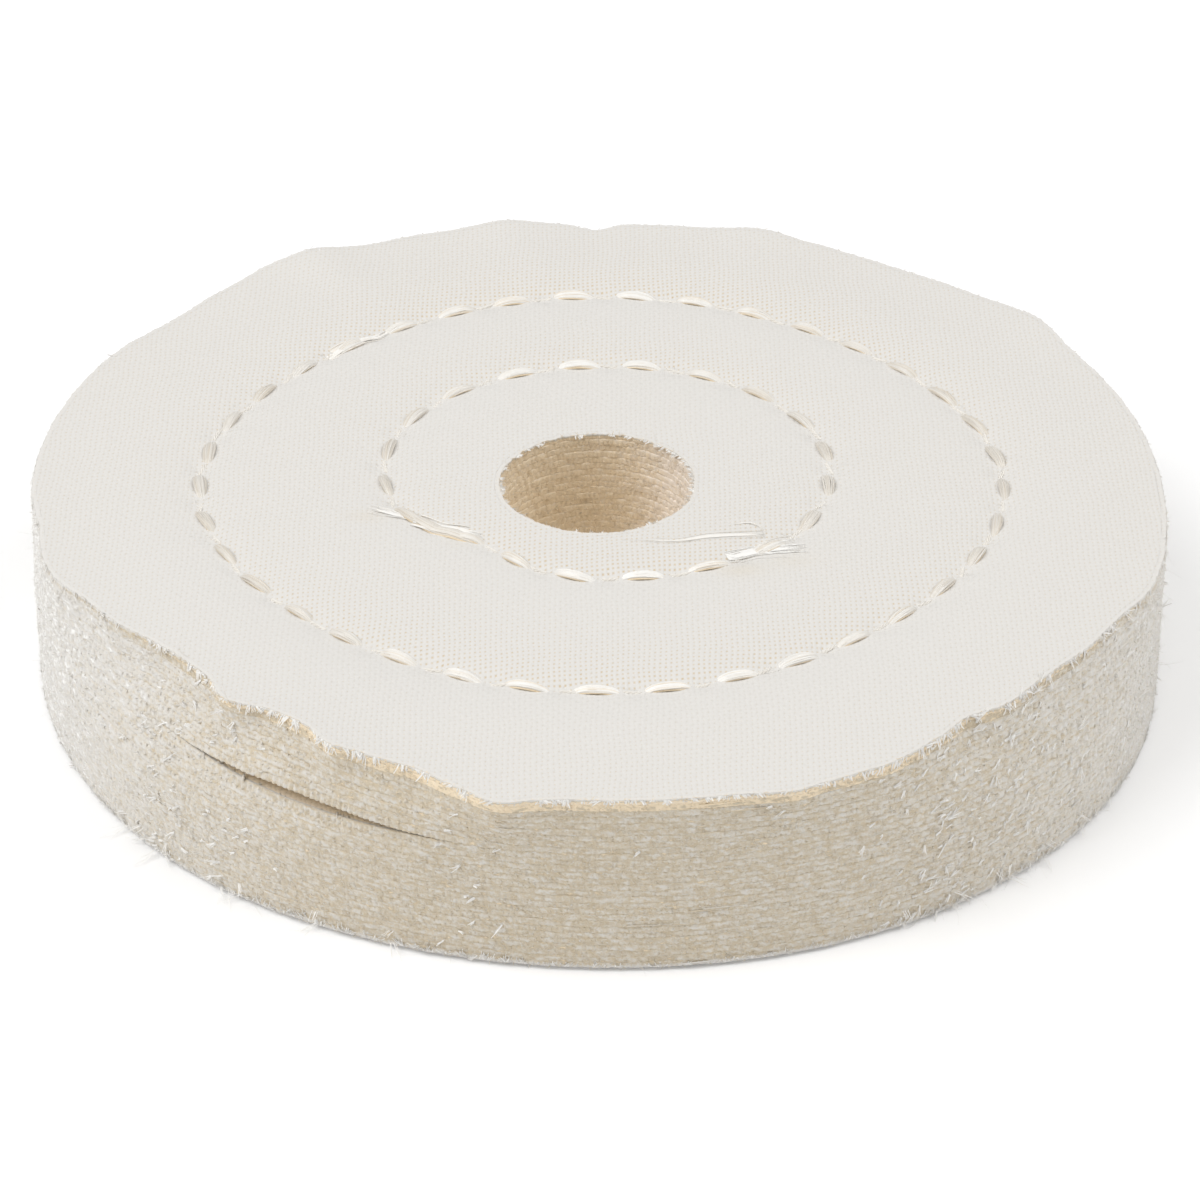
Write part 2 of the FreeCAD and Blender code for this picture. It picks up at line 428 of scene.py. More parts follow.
def add_sheet(soup, level, inner, outer, angles, top_shares, low_shares):
    """A ply between its two edges: its upper face, from bore to rim, and its lower one back again."""
    half = SHEET_THICKNESS / 2
    shares = np.concatenate([top_shares, low_shares[::-1]])
    offset = np.concatenate([np.full(len(top_shares), half), np.full(len(low_shares), -half)])
    radius = inner + shares[:, None] * (outer - inner)
    x, y = in_plan(radius, angles)
    points = np.stack([x, y, cloth_height(x, y, level) + offset[:, None]], -1)
    # Painted shade: the hidden faces between the plies are tan near the rim, and tanner still in the slit
    # where two plies have come apart.
    hidden = abs(level + np.sign(offset) / PLY_COUNT) < 1 - 0.5 / PLY_COUNT
    tan = (0.9 + 1.3 * bump(angles, GAP_ANGLE, 14)) * smooth(shares, 0.90, 0.97)[:, None]
    tones = np.where(hidden[:, None], tan, 0.0)
    if is_outside(level) and level > 0:
        for at_x, at_y, wide, strength in SMUDGES:
            distance = np.hypot(x - at_x, 1.6 * (y - at_y)) / wide
            tones = tones + strength * np.exp(-(distance**2)) * (offset > 0)[:, None]
    soup.add(points, ring_quads(len(shares), len(angles)), tone=tones, open_weave=openness(x, y))


# The section of a ply's fluffed-up edge, from its top face round to its lower one: how far behind the
# cut line, how high as a share of the ply's pitch, and how far out the yarn ends push it there.
EDGE_SECTION = (
    (0.70, 0.26, 0), (0.42, 0.325, 0), (0.20, 0.48, 0.3), (0.04, 0.57, 0.8),
    (0.0, 0.47, 1.0), (0.0, 0.16, 1), (0.0, -0.16, 1), (0.0, -0.47, 1.0),
    (0.04, -0.57, 0.8), (0.20, -0.48, 0.3), (0.42, -0.325, 0), (0.70, -0.26, 0),
)


def add_edge(soup, rng, level, radius_at, angles, outward):
    """A ply's soft edge, where its cut yarns have swollen until they fill the gap to the next ply."""
    radius = radius_at(angles)
    x, y = in_plan(radius, angles)
    # Each ply was laid with its yarns in a place of their own.
    warp_start, weft_start = rng.uniform(0, 1, 2)
    warp, weft = x / WARP_PITCH + warp_start, (y - WEFT_SKEW * x) / WEFT_PITCH + weft_start
    at_gap = abs(level - GAP_LEVEL) < 1.5 / PLY_COUNT and outward > 0
    comb = 1 + 2.2 * bump(angles, GAP_ANGLE, GAP_WIDTH + 2) * at_gap
    push = 0.03 * comb * np.cos(TAU * warp) * abs(np.sin(angles))
    push = push + 0.03 * np.cos(TAU * weft) * abs(np.cos(angles))
    behind, height, share = (np.array(column)[:, None] for column in zip(*EDGE_SECTION))
    height = height * PLY_PITCH + 0 * angles
    if is_outside(level):
        # The outside face of the stack stays level with its sheet.
        capped = np.sign(level) * np.minimum(abs(height), SHEET_THICKNESS / 2)
        height = np.where(height * level > 0, capped, height)
    grain = rng.normal(0, 1, (len(EDGE_SECTION), len(angles)))
    grain = 0.6 * grain + 0.5 * (np.roll(grain, 1, 1) + np.roll(grain, -1, 1))
    out = outward * (share * (push + 0.014 * grain) - behind)
    # The section leans with the side of the stack, so that it meets the plies above and below.
    around = out + np.stack([radius_at(angles, rise / HALF_HEIGHT) for rise in height[:, 0]])
    x, y = in_plan(around, angles)
    z = cloth_height(x, y, level) + height + share * rng.normal(0, 0.012, x.shape)
    depth = smooth(-behind + 0 * x, -0.35, -0.02)
    # Painted shade: each ply's edge is painted tanner towards its top and bottom, where it meets the next
    # ply.
    line = abs(height) / PLY_PITCH
    tone = depth * (edge_tone(angles, level, outward) + 0.45 * line - 0.08) - 0.22 * grain * share
    if is_outside(level):
        # The outside face stays white right to its edge.
        tone = np.where(height * level > 0, 0.1 * tone, tone)
    points = np.stack([x, y, z], -1)
    soup.add(points, ring_quads(*x.shape), tone=tone, fuzz=depth, open_weave=openness(x, y))


def yarn_ends(x, y, heading, pitch, phase):
    """Where one set of parallel yarns crosses a closed outline: (place, yarn number)."""
    across = (-math.sin(heading) * x + math.cos(heading) * y) / pitch + phase
    after = np.roll(across, -1)
    number = np.maximum(np.floor(across), np.floor(after))
    cut = np.nonzero(np.floor(across) != np.floor(after))[0]
    share = (number[cut] - across[cut]) / (after[cut] - across[cut])
    near = np.stack([x[cut], y[cut]], -1)
    far = np.stack([np.roll(x, -1)[cut], np.roll(y, -1)[cut]], -1)
    return near + share[:, None] * (far - near), number[cut]


def crossings(radius, angles, outward, rng):
    """Every place where a yarn of the cloth is cut by an edge, and the way each yarn points there."""
    twist = rng.normal(0, 0.03)
    x, y = in_plan(radius, angles)
    places, ways, weaves = [], [], []
    for heading, pitch, other_pitch, half_step in (
        (math.pi / 2 + twist, WARP_PITCH, WEFT_PITCH, 0.0),
        (WEFT_SKEW + twist, WEFT_PITCH, WARP_PITCH, 0.5),
    ):
        place, number = yarn_ends(x, y, heading, pitch, rng.uniform(0, 1))
        direction = np.array([math.cos(heading), math.sin(heading)])
        way = np.sign(unit(place) @ direction) * outward
        places.append(place)
        ways.append(direction * way[:, None])
        weaves.append(number + half_step + (place @ direction) / other_pitch)
    return np.concatenate(places), np.concatenate(ways), np.concatenate(weaves)


def add_yarn_ends(soup, rng, level, radius, angles, outward, depth, reach):
    """The cut ends of the yarns along an edge. outward is 1 at the rim and -1 at the bore."""
    place, way, weave = crossings(radius, angles, outward, rng)
    facing = np.sum(unit(place) * way, 1) * outward
    length = np.minimum(depth / np.maximum(facing, 0.10), 2.6)
    at = np.arctan2(place[:, 1], place[:, 0])
    worn = fray(at) if outward > 0 else 0.1 + 0 * at
    end = reach * rng.uniform(-0.7, 1, len(at)) * (1 + 0.5 * worn) * (0.35 + 0.65 * facing)
    white = is_outside(level) and outward > 0
    shade = edge_tone(at, level, outward) * (0.15 if white else 1.0)
    jitter, sink = (0.03, 0.06) if is_outside(level) else (0.10, 0.0)
    for chosen, rings in ((length < 1.1, 4), (length >= 1.1, 9)):
        pick = np.nonzero(chosen)[0]
        if not len(pick):
            continue
        many = (len(pick), 1)
        steps = np.linspace(0, 1, rings) ** 0.8
        run = -length[pick, None] + steps * (length[pick] + end[pick])[:, None]
        flat = place[pick, None, :] + run[..., None] * way[pick, None, :]
        height = cloth_height(flat[..., 0], flat[..., 1], level) + rng.normal(0, jitter, many)
        height = height - math.copysign(sink, level)
        crimp = 0.05 * np.cos(math.pi * (weave[pick, None] + run / WEFT_PITCH)) * facing[pick, None]
        path = np.concatenate([flat, (height + crimp)[..., None]], -1)
        thick = YARN_RADIUS * rng.uniform(0.6, 1.0, many) * (1.0 - 0.35 * steps**4)
        thick = thick * (0.40 + 0.60 * facing[pick, None])
        tip = smooth(run, -0.05, 0.10)
        tone = shade[pick, None] * (1.1 - 0.7 * tip * rng.uniform(0, 1, many))
        tone = tone + rng.normal(0, 0.10, many)
        soup.add_tubes(path, thick, 5, tone=tone, fuzz=1.0)


def add_fibres(soup, rng, start, heading, length, thick, rings, curl, tone, flat_to=None, fuzz=1.0):
    """Fine fibres from their starting points, each bent its own way, with a length and thickness each.

    With flat_to, each is a ribbon that faces that way.
    """
    count = len(start)
    steps = np.linspace(0, 1, rings)[None, :, None]
    heading = unit(heading)
    bend = rng.normal(0, curl, (count, 3))
    swing = rng.normal(0, 0.5 * curl, (count, 3))
    path = steps * heading[:, None] + 0.5 * steps**2 * bend[:, None] + 0.4 * steps**3 * swing[:, None]
    path = start[:, None] + np.reshape(length, (-1, 1, 1)) * path
    path[..., 2] = np.maximum(path[..., 2], FLOOR_LEVEL)
    taper = np.reshape(thick, (-1, 1)) * np.linspace(1, 0.45, rings)
    sides, flatten = (3, 1.0) if flat_to is None else (4, 0.35)
    up = unit(rng.normal(0, 1, (count, 3))) if flat_to is None else flat_to
    tones = np.broadcast_to(np.reshape(tone, (-1, 1)), (count, rings)) * np.linspace(1.0, 0.85, rings)
    soup.add_tubes(path, taper, sides, tones, fuzz, smooth=flat_to is None, up=up, flatten=flatten)


def edge_frame(angle, radius, level, outward):
    """Points in the middle of a ply's edge, and the directions out of the edge and along it."""
    out, side = outwards(angle), outwards(angle + math.pi / 2)
    place = out * radius[:, None]
    place[:, 2] = cloth_height(place[:, 0], place[:, 1], level)
    return place, out * outward, side


def bunched(rng, each, fibres, spread):
    """A value for each bunch, repeated for its fibres, each of which strays a little from it."""
    shared = np.repeat(each, fibres)[:, None]
    return shared + rng.normal(0, spread, shared.shape)


def add_nap(soup, rng, level, radius_at, count, outward, reach):
    """The brushed-up fibre ends that cover an edge like velvet. In the bore they lie along its wall."""
    angle = rng.uniform(0, TAU, count)
    place, out, side = edge_frame(angle, radius_at(angle), level, outward)
    start = place - 0.01 * out + rng.uniform(-0.17, 0.17, (count, 1)) * UP
    along, flat = (1.0, 0.10) if outward > 0 else (2.4, 0.06)
    rise = (0.14 + 0.22 * bump(angle, 285, 40))[:, None] if outward > 0 else 0.4
    heading = flat * out + rng.normal(0, along, (count, 1)) * side
    heading = heading + rise * rng.normal(-0.1, 1, (count, 1)) * UP
    worn = fray(angle) if outward > 0 else 0.6 + 0 * angle
    length = 0.15 + 1.4 * reach * rng.uniform(0.2, 1, count) * (1 + 0.4 * worn)
    tone = edge_tone(angle, level, outward) * rng.uniform(0.85, 1.1, count)
    tone = tone + rng.uniform(-0.12, 0.42, count) * np.clip(0.95 - tone, 0, 1)
    thick = rng.uniform(0.014, 0.028, count) if outward > 0 else rng.uniform(0.010, 0.022, count)
    add_fibres(soup, rng, start, heading, length, thick, 3, 0.3, tone, flat_to=out)


def add_lip(soup, rng, level, radius_at, count, fibres, outward):
    """The ragged white fringe of the face's own yarns along the edge of one of the two outside plies."""
    base = rng.uniform(0, TAU, count)
    worn = 0.4 + 0.6 * np.clip(bump(base, 236, 24) + bump(base, 312, 18) + fray(base), 0, 1)
    worn = worn if outward > 0 else 0.55 + 0 * base
    angle = np.repeat(base, fibres) + rng.normal(0, 0.14, count * fibres) / radius_at(0.0)
    total = len(angle)
    place, out, side = edge_frame(angle, radius_at(angle), level, outward)
    facing = math.copysign(1, level) * UP
    start = place + rng.uniform(-0.10, 0.04, (total, 1)) * out + 0.10 * facing
    lean = bunched(rng, rng.normal(0, 0.6, count), fibres, 0.3)
    reach, deepest, least = (0.32, -1.4, -0.3) if outward > 0 else (1.0, -0.3, 0.1)
    drop = bunched(rng, rng.uniform(deepest, least, count), fibres, 0.15)
    length = np.repeat(rng.uniform(0.3, 0.75, count) * worn, fibres) * rng.uniform(0.6, 1.2, total)
    thick = rng.uniform(0.035, 0.060, total)
    tone = rng.uniform(-0.3, 0.0, total)
    heading = reach * out + lean * side + drop * facing
    add_fibres(soup, rng, start, heading, length, thick, 4, 0.25, tone, unit(out + 0.5 * facing))


# Where long hairs stick out of some of the lowest plies, in degrees, and how many fibres each has.
HAIR_ANGLES = (216, 219, 221.5, 223, 231, 233, 242, 250, 300, 306, 311, 313, 318, 324)
HAIR_FIBRES = 4
HAIRY_PLIES = (1, 3)


def add_hairs(soup, rng, level, radius_at):
    """A few long loose yarn ends along the bottom edge."""
    hairs = len(HAIR_ANGLES)
    total = HAIR_FIBRES * hairs
    angle = np.radians(np.repeat(HAIR_ANGLES, HAIR_FIBRES)) + rng.normal(0, 0.004, total)
    place, out, side = edge_frame(angle, radius_at(angle), level, 1)
    lean = bunched(rng, rng.normal(0, 0.9, hairs), HAIR_FIBRES, 0.12)
    length = np.repeat(rng.uniform(0.5, 1.7, hairs), HAIR_FIBRES) * rng.uniform(0.7, 1.1, total)
    heading = out + lean * side - 0.25 * UP
    thick = rng.uniform(0.02, 0.035, total)
    add_fibres(soup, rng, place, heading, length, thick, 8, 0.25, -0.2, unit(out + UP))


def add_tufts(soup, rng, level, radius_at, count, fibres):
    """Yarn ends that have come loose from the rim and untwisted into soft white tufts."""
    angle = rng.uniform(0, TAU, count * 8)
    # The lowest plies are ragged all the way round.
    ragged = np.maximum(fray(angle), 0.35 * smooth(-level, 0.75, 0.95))
    angle = angle[rng.random(len(angle)) < 0.6 * ragged**2]
    place, out, side = edge_frame(angle, radius_at(angle), level, 1)
    total = len(angle)
    way = rng.choice((-1, 1), (total, 1))
    heading = 0.25 * out + way * (0.8 * side + 0.5 * UP) + rng.normal(0, 0.25, (total, 3))
    length = rng.gamma(4.0, 0.09, total) + 0.2
    out, heading, length = (np.repeat(value, fibres, 0) for value in (out, heading, length))
    place = np.repeat(place, fibres, 0) + 0.03 * out
    place = place + rng.normal(0, 0.03, place.shape)
    heading = unit(heading) + rng.normal(0, 0.12, heading.shape)
    length = length * rng.uniform(0.6, 1.1, len(length))
    thick = rng.uniform(0.035, 0.060, len(length))
    tone = rng.uniform(-0.3, 0.0, len(length))
    add_fibres(soup, rng, place, heading, length, thick, 5, 0.25, tone, unit(out + 0.4 * UP))


def add_fluff(soup, rng, level, radius_at, count, outward, reach):
    """Fine loose fibres along an edge, more where it is frayed."""
    angle = rng.uniform(0, TAU, count * 4)
    worn = fray(angle) if outward > 0 else 0.35 + 0 * angle
    angle = angle[rng.random(len(angle)) < worn]
    place, out, side = edge_frame(angle, radius_at(angle), level, outward)
    total = len(angle)
    start = place - 0.2 * out + rng.normal(0, 0.12, (total, 1)) * UP
    heading = out + rng.normal(0, 1.0, (total, 1)) * side + rng.normal(0, 0.5, (total, 1)) * UP
    length = reach * rng.gamma(2.0, 0.5, total)
    tone = 0.6 * edge_tone(angle, level, outward)
    add_fibres(soup, rng, start, heading, length, rng.uniform(0.009, 0.016, total), 7, 1.3, tone)


DENSE_ROWS = np.concatenate([[0, 0.0015], np.linspace(0, 1, 66)[1:-1], [0.9985, 1]])
PLAIN_ROWS = np.array([0, 0.0015, 0.2, 0.35, 0.5, 0.6, 0.7, 0.78, 0.86, 0.93, 0.9985, 1])
DENSE_COLUMNS, PLAIN_COLUMNS = 600, 360
RIM_COLUMNS, BORE_COLUMNS = 1800, 400
EDGE_SAMPLES = 4096
YARN_END_REACH = 0.02


def make_ply(number, material):
    """One disc of cloth, counted from 1 for the lowest: its sheet, soft edges, yarn ends and fluff."""
    rng = np.random.default_rng(100 + number)
    seed = 1000 + 10 * number
    level = ply_level(number)
    angles = circle_steps(DENSE_COLUMNS if number in (1, PLY_COUNT) else PLAIN_COLUMNS)
    soup = Soup()
    top_shares = DENSE_ROWS if number == PLY_COUNT else PLAIN_ROWS
    low_shares = DENSE_ROWS if number == 1 else PLAIN_ROWS

    def rim(at, rise=0.0):
        return rim_radius(at, np.clip(level + rise, -1, 1), seed)

    # The bore's wall is upright, so it is the same at every rise.
    def bore(at, rise=0.0):
        return bore_edge(at, seed)

    add_sheet(soup, level, bore(angles) + 0.32, rim(angles) - 0.32, angles, top_shares, low_shares)
    fine = circle_steps(EDGE_SAMPLES)
    for edge, columns, outward, depth, nap_fibres, nap_reach in (
        (rim, RIM_COLUMNS, 1, 0.5, 2500, 0.10),
        (bore, BORE_COLUMNS, -1, 0.4, 560, 0.30),
    ):
        add_edge(soup, rng, level, edge, circle_steps(columns), outward)
        add_yarn_ends(soup, rng, level, edge(fine), fine, outward, depth, YARN_END_REACH)
        add_nap(soup, rng, level, edge, nap_fibres, outward, nap_reach)
    add_tufts(soup, rng, level, rim, count=30 if number < 3 else 20, fibres=4)
    if is_outside(level):
        add_lip(soup, rng, level, rim, count=460, fibres=6, outward=1)
        add_lip(soup, rng, level, bore, count=75, fibres=6, outward=-1)
    if number in HAIRY_PLIES:
        add_hairs(soup, rng, level, rim)
    add_fluff(soup, rng, level, rim, count=30, outward=1, reach=0.6)
    add_fluff(soup, rng, level, bore, count=10, outward=-1, reach=0.5)
    return soup.build(f"cotton_ply_{number:02d}", material)


# ---------------- materials


class Graph:
    """A material's node tree, with short calls that add a node and link its inputs."""

    def __init__(self, name):
        self.material = bpy.data.materials.new(name)
        self.material.use_nodes = True
        self.nodes, self.links = self.material.node_tree.nodes, self.material.node_tree.links
        self.shader = self.nodes["Principled BSDF"]

    def put(self, value, socket):
        if isinstance(value, bpy.types.NodeSocket):
            self.links.new(value, socket)
        else:
            socket.default_value = value

    def add(self, kind, inputs=(), output=0, **settings):
        made = self.nodes.new(kind)
        for word, value in settings.items():
            setattr(made, word, value)
        for word, value in dict(inputs).items():
            self.put(value, made.inputs[word])
        return made.outputs[output]

    def math(self, operation, *values):
        return self.add("ShaderNodeMath", dict(enumerate(values)), operation=operation)

    def clamp(self, value):
        return self.add("ShaderNodeClamp", {"Value": value})

    def value(self, word):
        return self.add("ShaderNodeAttribute", output="Fac", attribute_name=word)

    def mix(self, share, first, second):
        """A blend of two colours."""
        made = self.nodes.new("ShaderNodeMix")
        made.data_type = "RGBA"
        colour_a, colour_b = (s for s in made.inputs if s.type == "RGBA")
        self.put(share, made.inputs[0])
        self.put(first, colour_a)
        self.put(second, colour_b)
        return next(s for s in made.outputs if s.type == "RGBA")

    def set(self, word, value):
        self.put(value, self.shader.inputs[word])

    def relief(self, height, strength, distance):
        inputs = {"Strength": strength, "Distance": distance, "Height": height}
        self.set("Normal", self.add("ShaderNodeBump", inputs, output="Normal"))


def noise(graph, where, scale, detail=3.0, rough=0.55, output="Fac"):
    inputs = {"Vector": where, "Scale": scale, "Detail": detail, "Roughness": rough}
    return graph.add("ShaderNodeTexNoise", inputs, output)


def varied(graph, tone, pattern, strength):
    """A tone that goes up and down with a noise pattern."""
    return graph.math("MULTIPLY_ADD", graph.math("SUBTRACT", pattern, 0.5), strength, tone)


# Linear colours of the cloth's yarns and fibres, of the thread, and of the painted shade in the weave's
# valleys and pinholes.
WHITE_YARN = (0.755, 0.734, 0.70, 1)
WHITE_FUZZ = (0.77, 0.75, 0.718, 1)
TUFT_WHITE = (0.95, 0.935, 0.905, 1)
CREAM_YARN = (0.715, 0.65, 0.54, 1)
TAN_YARN = (0.645, 0.55, 0.405, 1)
BORE_TAN_AND_BOUNCE_LIGHT = (0.918, 0.78, 0.58, 1)
BORE_PAINTED_LIGHT = (0.935, 0.855, 0.77, 1)
THREAD_WHITE = (0.965, 0.95, 0.915, 1)
THREAD_OCHRE = (0.76, 0.60, 0.38, 1)
THREAD_DULL_AND_SHADE = (0.64, 0.585, 0.50, 1)
VALLEY_SHADE = (0.62, 0.58, 0.51, 1)
PINHOLE_SHADE = (0.66, 0.535, 0.36, 1)


def yarn_places(graph, where):
    """How far across the warp and across the weft a point lies, with yarns that wander a little."""
    wander = noise(graph, where, 160.0, 2.0, 0.5, output="Color")
    centred = graph.add("ShaderNodeVectorMath", {0: wander, 1: (0.5, 0.5, 0.5)}, operation="SUBTRACT")
    shift = graph.add("ShaderNodeVectorMath", {0: centred, "Scale": 0.0006}, operation="SCALE")
    wandered = graph.add("ShaderNodeVectorMath", {0: where, 1: shift}, operation="ADD")
    parts = graph.nodes.new("ShaderNodeSeparateXYZ")
    graph.put(wandered, parts.inputs[0])
    x, y = parts.outputs[0], parts.outputs[1]
    return x, graph.math("SUBTRACT", y, graph.math("MULTIPLY", x, WEFT_SKEW))


def plain_weave(graph, warp_place, weft_place):
    """How high the yarns stand, how well they cover, and which way they lean at each pinhole."""
    warp = graph.math("SINE", graph.math("MULTIPLY", warp_place, math.pi / (WARP_PITCH * MM)))
    weft = graph.math("SINE", graph.math("MULTIPLY", weft_place, math.pi / (WEFT_PITCH * MM)))
    warp_round, weft_round = graph.math("ABSOLUTE", warp), graph.math("ABSOLUTE", weft)
    over = graph.math("MULTIPLY", graph.math("MULTIPLY", warp, weft), 0.45)
    warp_top = graph.math("ADD", graph.math("POWER", warp_round, 0.6), over)
    weft_top = graph.math("SUBTRACT", graph.math("POWER", weft_round, 0.6), over)
    crests = graph.math("MAXIMUM", warp_top, weft_top)
    cover = graph.math("MAXIMUM", warp_round, weft_round)
    warp_turns = graph.math("DIVIDE", warp_place, WARP_PITCH * MM)
    turns = graph.math("SUBTRACT", warp_turns, graph.math("DIVIDE", weft_place, WEFT_PITCH * MM))
    return crests, cover, graph.math("COSINE", graph.math("MULTIPLY", turns, math.pi))


def pinholes(graph, where, cover, lean, flat):
    """The weave's pinholes, where neither yarn covers, painted with the shade inside them. The pull of
    the stitches widens them.
    """
    open_weave = graph.value("open_weave")
    width = graph.math("MULTIPLY_ADD", open_weave, 0.62, 0.22)
    hole = graph.math("SUBTRACT", 1.0, graph.math("DIVIDE", cover, width))
    hole = graph.clamp(graph.math("MULTIPLY", hole, 1.6))
    hole = graph.math("MULTIPLY", hole, graph.math("MULTIPLY_ADD", open_weave, 0.6, 0.4))
    # The lean changes sides from one hole to the next, so every other one is a little more shut.
    hole = graph.math("MULTIPLY", hole, graph.math("MULTIPLY_ADD", lean, 0.10, 0.78))
    uneven = graph.math("MULTIPLY_ADD", noise(graph, where, 1600.0, 1.0), 1.8, 0.1)
    return graph.clamp(graph.math("MULTIPLY", graph.math("MULTIPLY", hole, flat), uneven))


def cotton_shade(graph, where, fibres, fuzz):
    """The yarns' colour by tone: below 0 for tufts, 0 for white, 1 for tan, and from 1.6 in the bore."""
    aged = graph.value("tone")
    tone = varied(graph, aged, fibres, 0.35)
    tone = varied(graph, tone, noise(graph, where, 90.0), 0.12)
    # On the cut edges the broken fibre ends show as pale grains over the tan of the yarns.
    tone = varied(graph, tone, noise(graph, where, 7500.0, 1.5), graph.math("MULTIPLY", fuzz, 0.75))
    white = graph.mix(fuzz, WHITE_YARN, WHITE_FUZZ)
    white = graph.mix(graph.clamp(graph.math("MULTIPLY", aged, -5.0)), white, TUFT_WHITE)
    cream = graph.mix(graph.clamp(tone), white, CREAM_YARN)
    deep = graph.math("MULTIPLY", graph.math("SUBTRACT", tone, 0.55), 1.8)
    body = graph.mix(graph.clamp(deep), cream, TAN_YARN)
    # Down the bore, above a tone of 1.1, the colour goes to the bore's tan, brighter and warmer than the
    # rim's: partly the cloth's own tan, partly painted bounce light. Above 1.7 it goes to a paler colour,
    # painted light on the lit side of the bore.
    pale = graph.clamp(graph.math("SUBTRACT", aged, 1.7))
    down_bore = graph.math("MULTIPLY", graph.math("SUBTRACT", aged, 1.1), 4.0)
    return graph.mix(graph.clamp(down_bore), body, graph.mix(pale, BORE_TAN_AND_BOUNCE_LIGHT, BORE_PAINTED_LIGHT))


def cotton_material():
    """Plain-woven unbleached cotton: white on its faces, cream to tan where its yarns are cut."""
    graph = Graph("unbleached_cotton")
    where = graph.add("ShaderNodeTexCoord", output="Object")
    crests, cover, lean = plain_weave(graph, *yarn_places(graph, where))
    fuzz = graph.value("fuzz")
    flat = graph.math("SUBTRACT", 1.0, fuzz)
    hole = pinholes(graph, where, cover, lean, flat)
    fibres = noise(graph, where, 9000.0, 4.0, 0.7)
    body = cotton_shade(graph, where, fibres, fuzz)
    # Painted shade: the valleys between the yarns are a little darker than their crests.
    valley = graph.math("MULTIPLY", flat, 0.20)
    valley = graph.math("MULTIPLY", graph.math("SUBTRACT", 1.15, crests), valley)
    valley = graph.math("MULTIPLY_ADD", lean, graph.math("MULTIPLY", flat, 0.05), valley)
    body = graph.mix(graph.clamp(valley), body, VALLEY_SHADE)
    graph.set("Base Color", graph.mix(hole, body, PINHOLE_SHADE))
    graph.set("Roughness", 0.93)
    graph.set("Specular IOR Level", 0.2)
    graph.set("Sheen Weight", 0.45)
    graph.set("Sheen Roughness", 0.4)
    height = graph.math("MULTIPLY", graph.math("MULTIPLY_ADD", lean, -0.2, crests), flat)
    height = graph.math("MULTIPLY_ADD", fibres, 0.5, height)
    height = graph.math("MULTIPLY_ADD", hole, -0.2, height)
    graph.relief(height, strength=0.5, distance=0.00006)
    return graph.material


def thread_material(name, rough, shine):
    """Off-white thread: bright filaments over an ochre core. Its ochre is partly the thread's own streaks
    and partly painted shade, on the core and on the low sides of each stitch.
    """
    graph = Graph(name)
    where = graph.add("ShaderNodeTexCoord", output="Object")
    tone = varied(graph, graph.value("tone"), noise(graph, where, 2600.0), 0.3)
    colour = graph.mix(graph.clamp(tone), THREAD_WHITE, THREAD_OCHRE)
    # Where its fuzz is above 0, the thread is a duller and darker colour: the knots' and wisps' own
    # colour, and painted shade on the stitches at the left and right of each ring.
    graph.set("Base Color", graph.mix(graph.value("fuzz"), colour, THREAD_DULL_AND_SHADE))
    graph.set("Roughness", rough)
    graph.set("Specular IOR Level", shine)
    graph.set("Sheen Weight", 0.3)
    graph.relief(noise(graph, where, 12000.0, 2.0), strength=0.3, distance=0.00002)
    return graph.material


def floor_material():
    graph = Graph("pale_floor")
    where = graph.add("ShaderNodeTexCoord", output="Object")
    mottle = noise(graph, where, 3.0, 2.0)
    graph.set("Base Color", graph.mix(mottle, (0.96, 0.96, 0.96, 1), (0.97, 0.97, 0.97, 1)))
    graph.set("Roughness", 0.9)
    graph.set("Specular IOR Level", 0.1)
    graph.set("Emission Color", (1, 1, 1, 1))
    graph.set("Emission Strength", 0.08)
    return graph.material


# ---------------- stitches


def surface_height(x, y, side):
    """The height of the wheel's outer face, on top for side 1 and underneath for side -1."""
    level = ply_level(PLY_COUNT if side > 0 else 1)
    return cloth_height(x, y, level) + side * SHEET_THICKNESS / 2


def ring_point(name, angle, out=0.0):
    """A point on a ring of stitches, in plan."""
    centre_x, centre_y, radius = RINGS[name]
    away = radius + ring_wobble(name, angle) + out
    return centre_x + away * np.cos(angle), centre_y + away * np.sin(angle)


STRANDS = 22
STITCH_HALF_WIDTH, STITCH_HALF_HEIGHT = 0.43, 0.17


